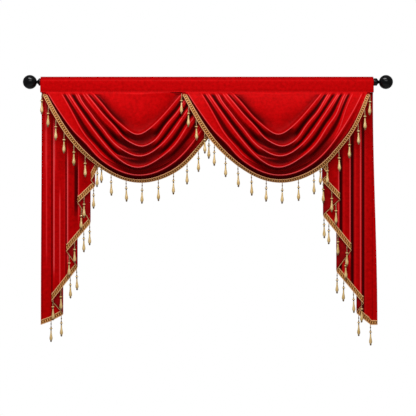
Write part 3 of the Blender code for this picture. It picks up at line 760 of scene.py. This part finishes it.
# panel, distance from the outer edge, hangs forward by
leftDrops = [
    (0, 45.1, 0), (0, 89.3, 0), (2, 53, 2), (2, 88.9, 4), (2, 130.8, 2), (2, 159, 0), (3, 126.8, 6), (4, 151.6, 4),
    (4, 192.6, 2), (4, 219, 0), (5, 182.2, 6.5), (6, 195.3, 4), (6, 238, 0), (8, 275, 1),
]
rightDrops = [
    (0, 25, 0), (0, 66.3, 0), (2, 52.8, 3), (2, 89.8, 3), (2, 133, 2), (2, 162.5, 0), (3, 125.9, 6), (4, 120.4, 4),
    (4, 161, 3), (4, 201.2, 1), (4, 223, 0), (5, 170, 6.5), (6, 189.5, 4), (6, 228, 1), (8, 242.2, 3),
]


class Tail:
    def __init__(self, table, outerX, inward, flare, streaks, step):
        self.outerX, self.inward, self.flare, self.streaks = outerX, inward, flare, streaks
        self.firstFold = next(row[1] for row in table if row[0] == "F")
        corners, panel = [], 0
        for name, out, _, depthIn, depthOut in table:
            face = 1 if panel % 2 else -1
            if name in ("edge", "mid"):
                corners.append([(out, depthIn, 0, face, panel)])
                continue
            turn = 1 if name == "F" else -1
            middle, half = 0.5 * (depthIn + depthOut), 0.5 * (depthIn - depthOut)
            arc = []
            for angle in np.radians(np.linspace(90, -90, 11)):
                cos, sin = math.cos(angle), math.sin(angle)
                way = (-cos, -sin) if name == "F" else (-cos, sin)
                arc.append((out - turn * tailShape["reach"] * (1 - cos), middle + half * sin, *way,
                            panel + (1 if angle < 0 else 0)))
            corners.append(arc)
            panel += 1
        columns, marks = [], []
        for k, arc in enumerate(corners):
            if k:
                a, b = np.array(columns[-1][:2]), np.array(arc[0][:2])
                parts = max(1, int(np.linalg.norm(b - a) / step))
                panel = columns[-1][4]
                for t in np.arange(1, parts) / parts:
                    columns.append((*(a + t * (b - a)), 0, 1 if panel % 2 else -1, panel))
            marks.append((len(columns), len(columns) + len(arc) - 1))
            columns += arc
        self.out, self.depth, self.faceX, self.faceY, self.panel = np.array(columns).T
        self.along = lengthsAlong(np.stack([self.out, self.depth], axis=1))
        centres = [0.5 * (self.along[a] + self.along[b]) for a, b in marks]
        self.drop = np.interp(self.along, centres, [row[2] for row in table])
        slope = np.abs(np.gradient(self.drop, self.along))
        soft = np.ones(9) / 9
        slope = np.convolve(np.pad(slope, 4, mode="edge"), soft, mode="valid")
        self.stretch = np.sqrt(1 + np.minimum(slope, 2) ** 2)

    # points on every column, at a distance below the seam, lifted off the middle of the cloth towards its face
    def points(self, below, lift):
        opened = smooth(below / tailShape["opening"])
        seamDepth = tailShape["shift"] + tailShape["squeeze"] * self.depth
        y = seamDepth + (self.depth - seamDepth) * opened + lift * self.faceY
        spread = self.flare * np.clip(1 - self.out / self.firstFold, 0, 1) * smooth(below / tailShape["length"])
        spread = np.where(self.panel == 0, spread, 0)
        out = self.out - spread + lift * self.faceX
        for row in self.streaks:
            y = y - 0.8 * row[1] * self.streak(out, below, *row)
        return np.stack([self.outerX + self.inward * out, y, seamZ - seamGap - below], axis=-1)

    def streak(self, out, below, centre, amount, width, begin, end):
        fade = ease(below, begin, 120) * (1 - ease(below, end, 120))
        return fade * np.exp(-(np.abs((out - centre) / width) ** (2 if amount > 0 else 4)))

    # painted shade, darker towards the inner folds and in the sunk streaks, and painted highlight on the raised
    # streaks
    def shades(self, grid):
        out, below = self.inward * (grid[..., 0] - self.outerX), seamZ - seamGap - grid[..., 2]
        paintedShade = tailShape["paintedShadeOut"] + tailShape["paintedShadeIn"] * np.clip(out, 0, None)
        edge = np.zeros(out.shape)
        for row in self.streaks:
            here = abs(row[1]) * self.streak(out, below, *row)
            if row[1] < 0:
                paintedShade = np.maximum(paintedShade, here)
            else:
                edge = np.maximum(edge, here)
        return {"paintedShade": paintedShade * (1 - 0.7 * edge), "edge": edge}

    def cloth(self, lift):
        hem = self.drop - braid["overhang"] * self.stretch
        shares = np.linspace(0, 1, tailShape["rows"]) ** 0.9
        return np.array([self.points(share * hem, lift) for share in shares])

    def root(self, panel, out):
        chosen = np.flatnonzero(self.panel == panel)
        chosen = chosen[np.argsort(self.out[chosen])]
        lift = 0.5 * clothThick + braid["gap"] + 0.5 * braid["thick"]
        edge = self.points(self.drop, lift)[chosen]
        return np.array([np.interp(out, self.out[chosen], edge[:, k]) for k in range(3)])


def buildTail(side, shape, table, drops, seed):
    tail = Tail(table, *shape, tailShape["columnStep"])
    half = 0.5 * clothThick
    front, back = tail.cloth(half), tail.cloth(-half)
    uv = np.stack([np.broadcast_to(tail.along, front.shape[:2]), front[..., 2]], axis=-1)
    cloth = sheetPiece(f"tail_{side}_cloth", front, back, [velvetFace, velvetReverse], uv, shades=tail.shades(front))

    fine = Tail(table, *shape, tailShape["braidStep"])
    top, edge = (fine.points(fine.drop - width * fine.stretch, half) for width in (braid["width"], 0))
    lift = np.stack([fine.inward * fine.faceX, fine.faceY, 0 * fine.faceX], axis=1)
    band = braidPiece(f"tail_{side}_braid", top, edge, lift, lift)
    roots = [(fine.root(panel, out), up, forward) for panel, out, forward in drops]
    return cloth, band, dropsPiece(f"tail_{side}_drops", roots, seed)


# Upright streaks on the tails: distance from the outer edge, how raised with painted highlight (or sunk with painted
# shade, if below 0), width, and where it begins and ends below the seam.
leftStreaks = [
    (22, 0.5, 3.2, -200, 700), (20, 0.5, 6, -200, 300), (61, 0.45, 4.5, 60, 300), (48, -0.62, 4.6, 60, 1200),
    (57.5, 0.95, 2.8, 60, 760), (84, 0.65, 3.2, 380, 860), (106, 0.22, 3, 300, 760), (111, -0.66, 4.6, 200, 1200),
    (120, 0.9, 2.8, 200, 720), (158, -0.95, 9.5, 240, 500), (170, 0.62, 2.8, 240, 520), (2, -0.5, 3, -200, 1300),
]
rightStreaks = [
    (45, -1, 8, 60, 1200), (57.5, 0.75, 3, 60, 900), (64, -0.25, 4, 60, 900), (35, 0.22, 5, 60, 1000),
    (94.5, -1, 9, 120, 1200), (106, 0.75, 3, 120, 700), (112, -0.25, 4, 120, 700), (82, 0.22, 5, 120, 900),
    (147, -1, 9, 200, 1200), (158, 0.7, 3, 200, 560), (134, 0.15, 5, 200, 800), (2, -0.35, 3, -200, 1300),
]
# outer edge's place, direction inward, flare and streaks; folds; drops; seed
tails = {
    "left": ((-747.2, 1, 4, leftStreaks), leftFolds, leftDrops, 31),
    "right": ((750, -1, 20.7, rightStreaks), rightFolds, rightDrops, 32),
}
# seam's start and depth, how far the cloth comes forward at its left and right, over what fall, how far the seam is
# pushed forward, over what fall, and seeds
swags = {
    "left": (Swag(-745.4, -5, 33, 3, 60, 9.3, 30, 11), 21),
    "right": (Swag(-117, -10, 26, 30, 45, 4.3, 8, 12), 22),
}


# heading, rod and finials

heading = {
    "half": 750, "columns": 260, "thick": 1.5, "pocketTop": 15.2, "top": 23.9, "inside": 13.1, "waver": 0.5,
    # flat, topShade and seam are painted: light painted shade over the band, more on its top, painted highlight at
    # the seam
    "waves": (31, 12.3), "flat": 0.04, "topShade": 0.2, "seam": 0.16,
}


# rod pocket in one closed ring with a narrow ruffle of two layers above it
def buildHeading():
    thick, inside = heading["thick"], heading["inside"]
    outside = inside + thick
    top, base = heading["top"], heading["pocketTop"]
    arch = np.radians(np.linspace(176, 118, 12))
    outer = [
        (-14.2, seamZ), (-15.2, -46.2), (-15.5, -44.6), (-15, -43), (-14.5, -41.6), (-14.2, -40.2), (-14.5, -38.8),
        (-14.8, -37), (-14.8, -30), (-14.8, -20), (-14.8, -10), (-14.75, -3),
    ]
    outer += [(outside * math.cos(a), outside * math.sin(a)) for a in arch]
    outer += [
        (-4.6, 13.9), (-2.6, 14.6), (-1.7, 15.4), (-1.9, 16.6), (-1.9, 18.5), (-1.8, 21), (-1.4, 22.9), (-0.7, top),
    ]
    inner = [
        (-12.9, seamZ + thick), (-13.2, -45.2), (-13.3, -44), (-13.3, -43), (-13, -41.6), (-12.9, -40.2),
        (-13.1, -38.8), (-13.3, -37), (-13.3, -30), (-13.3, -20), (-13.3, -10), (-13.25, -3),
    ]
    inner += [(inside * math.cos(a), inside * math.sin(a)) for a in arch]
    inner += [
        (-4.1, 12.75), (-2.2, 13.2), (-0.3, 14), (-0.3, 16.6), (-0.3, 18.5), (-0.3, 20.5), (-0.25, 21.8),
        (-0.15, 22.2),
    ]
    for path in (outer, inner):
        path += [(-y, z) for y, z in reversed(path) if z > -40]
    outer += [(14, -44), (13, seamZ + 0.3), (12, seamZ), (4, seamZ), (-6, seamZ)]
    inner += [(12.6, -44), (11.8, -45.6), (11.2, seamZ + thick), (4, seamZ + thick), (-6, seamZ + thick)]
    x = np.linspace(-heading["half"], heading["half"], heading["columns"])
    long, brief = heading["waves"]
    grids = []
    for path in (outer, inner):
        path = np.array(path)
        y, z = path[:, :1], path[:, 1:]
        lift = ease(z, base, top - base)
        wave = heading["waver"] * (np.sin(x / long) * 0.6 + np.sin(x / brief + 1) * 0.4)[None, :]
        grids.append(np.stack(np.broadcast_arrays(x[None, :], y + lift * wave, z), axis=-1))
    around = lengthsAlong(grids[0][:, 0])
    uv = np.stack(np.broadcast_arrays(x[None, :], around[:, None]), axis=-1)
    z = grids[0][..., 2]
    # painted shade: light over the whole band, more on the curve over the rod, a dark line along the ruffle's top and
    # one above the seam; painted highlight along the seam
    paintedShade = heading["flat"] + heading["topShade"] * ease(z, 3, 9) + 0.45 * ease(z, 21, 2)
    paintedShade = paintedShade + 0.25 * hump(z, -40.5, 1.5)
    edge = heading["seam"] * ease(-z, 43, 2.5)
    return sheetPiece("heading_cloth", *grids, [velvetFace, velvetReverse], uv, wrap=True,
                      shades={"paintedShade": np.clip(paintedShade, 0, 1), "edge": edge})


finial = {"sides": 72, "collar": 16.75, "neck": 6.9, "ball": 31.5, "gap": 0.3, "left": -798.2, "right": 806.8}


# collar, neck and ball turned round the rod's axis
def buildFinial(name, ballX):
    side, reach = math.copysign(1, ballX), abs(ballX) - heading["half"]
    collar, ball, neck = finial["collar"], finial["ball"], finial["neck"]
    neckEnd = reach - math.sqrt(ball ** 2 - neck ** 2)
    gap = finial["gap"]
    profile = [
        (gap, 0), (gap, collar - 1.6), (gap + 0.2, collar - 0.8), (gap + 0.7, collar - 0.25), (gap + 1.4, collar),
        (neckEnd - 12, collar), (neckEnd - 10.8, collar - 0.3), (neckEnd - 9.8, collar - 1.2), (neckEnd - 8.2, 13.2),
        (neckEnd - 6.4, 10.6), (neckEnd - 4.8, 8.6), (neckEnd - 3, 7.4), (neckEnd - 1.2, neck),
    ]
    first = math.degrees(math.asin(neck / ball))
    for angle in np.radians(np.linspace(first, 180, 36)):
        profile.append((reach - ball * math.cos(angle), ball * math.sin(angle)))
    sides = finial["sides"]
    turn = 2 * math.pi * np.arange(sides) / sides
    profile = [(side * (heading["half"] + x), radius) for x, radius in profile]
    points = [(profile[0][0], 0, 0)]
    for x, radius in profile[1:-1]:
        points += [(x, radius * c, radius * s) for c, s in zip(np.cos(turn), np.sin(turn))]
    points.append((profile[-1][0], 0, 0))
    rings, last = len(profile) - 2, len(points) - 1
    faces = []
    for k in range(sides):
        n = (k + 1) % sides
        faces.append((0, 1 + k, 1 + n))
        for r in range(rings - 1):
            a = 1 + r * sides
            faces.append((a + k, a + n, a + sides + n, a + sides + k))
        faces.append((last, 1 + (rings - 1) * sides + n, 1 + (rings - 1) * sides + k))
    piece = meshPiece(name, points, faces, [blackLook])
    piece.data.set_sharp_from_angle(angle=math.radians(50))
    return piece


def place(piece, slot, *nodes):
    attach(piece, "root")
    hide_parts(*nodes)


headingCloth = buildHeading()
place(headingCloth, "cloth", "heading")
print("heading made")


def hang(kind, side, cloth, band, drops):
    place(cloth, "cloth", f"{kind}_{side}")
    for trim in (band, drops):
        place(trim, "braid", f"trim_{kind}_{side}")
    print(f"{kind} made:", side)


for side, (swag, seed) in swags.items():
    hang("swag", side, *buildSwag(side, swag, seed))
for side, (shape, table, dropPlaces, seed) in tails.items():
    hang("tail", side, *buildTail(side, shape, table, dropPlaces, seed))
for side in ("left", "right"):
    place(buildFinial(f"finial_{side}_turned", finial[side]), "rod_black", f"finial_{side}")
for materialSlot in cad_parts["rod"].material_slots:
    materialSlot.material = blackLook
print("rod and finials made")


# floor, light and camera

studio = {
    "floorZ": -2.2, "floorHalf": 3, "world": 0.2,
    "keyPlace": (-0.4, -1.7, 2.6), "keyAim": (0, 0, -0.4), "keySize": (2.4, 0.6), "keyPower": 102,
    "fillPlace": (0.3, -4.2, 1.6), "fillAim": (0, 0, -0.6), "fillSize": (3.2, 1.2), "fillPower": 55,
    "cameraPlace": (0.0047, -5.21, -0.568), "lens": 100, "sensor": 36,
    "floorDark": (0.78, 0.78, 0.78), "floorLight": (0.82, 0.82, 0.82), "floorScale": 3, "floorRough": 0.8,
}
white = (1, 1, 1, 1)


def aim(thing, target):
    way = [t - p for t, p in zip(target, thing.location)]
    flat = math.hypot(way[0], way[1])
    thing.rotation_euler = (math.atan2(flat, -way[2]), 0, math.atan2(-way[0], way[1]))


def areaLight(name):
    lamp = bpy.data.lights.new(f"{name} light", "AREA")
    lamp.shape, (lamp.size, lamp.size_y), lamp.energy = "RECTANGLE", studio[f"{name}Size"], studio[f"{name}Power"]
    aim(addThing(f"{name} light", lamp, studio[f"{name}Place"]), studio[f"{name}Aim"])


areaLight("key")
areaLight("fill")

world = bpy.data.worlds.new("studio")
world.use_nodes = True
bpy.context.scene.world = world
worldNodes = world.node_tree.nodes
softLight = worldNodes["Background"]
fill(softLight, {"Color": white, "Strength": studio["world"]})
paper = addNode(worldNodes, "Background", Color=white, Strength=1)
seen = addNode(worldNodes, "LightPath")
choose = addNode(worldNodes, "MixShader")
join(seen.outputs["Is Camera Ray"], choose, "Fac")
join(softLight.outputs[0], choose, 1)
join(paper.outputs[0], choose, 2)
join(choose.outputs[0], worldNodes["World Output"], "Surface")

half, floorZ = studio["floorHalf"], studio["floorZ"]
floorMesh = bpy.data.meshes.new("floor")
corners = [(-half, -half, floorZ), (half, -half, floorZ), (half, half, floorZ), (-half, half, floorZ)]
floorMesh.from_pydata(corners, [], [(0, 1, 2, 3)])
floorLook, floorNodes, floorShader, floorPlace = newLook("pale_floor")
floorCloud = noise(floorNodes, floorPlace, studio["floorScale"], 2)
floorColour = ramp(floorNodes, floorCloud, [(0.3, studio["floorDark"]), (0.7, studio["floorLight"])])
join(floorColour, floorShader, "Base Color")
fill(floorShader, {"Roughness": studio["floorRough"]})
floorMesh.materials.append(floorLook)
floor = addThing("floor", floorMesh)

cameraData = bpy.data.cameras.new("camera")
cameraData.lens, cameraData.sensor_width = studio["lens"], studio["sensor"]
camera = addThing("camera", cameraData, studio["cameraPlace"])
camera.rotation_euler = (math.radians(90), 0, 0)
bpy.context.scene.camera = camera
bpy.context.scene.view_settings.view_transform = "Standard"
print("studio made")

bpy.context.view_layer.update()
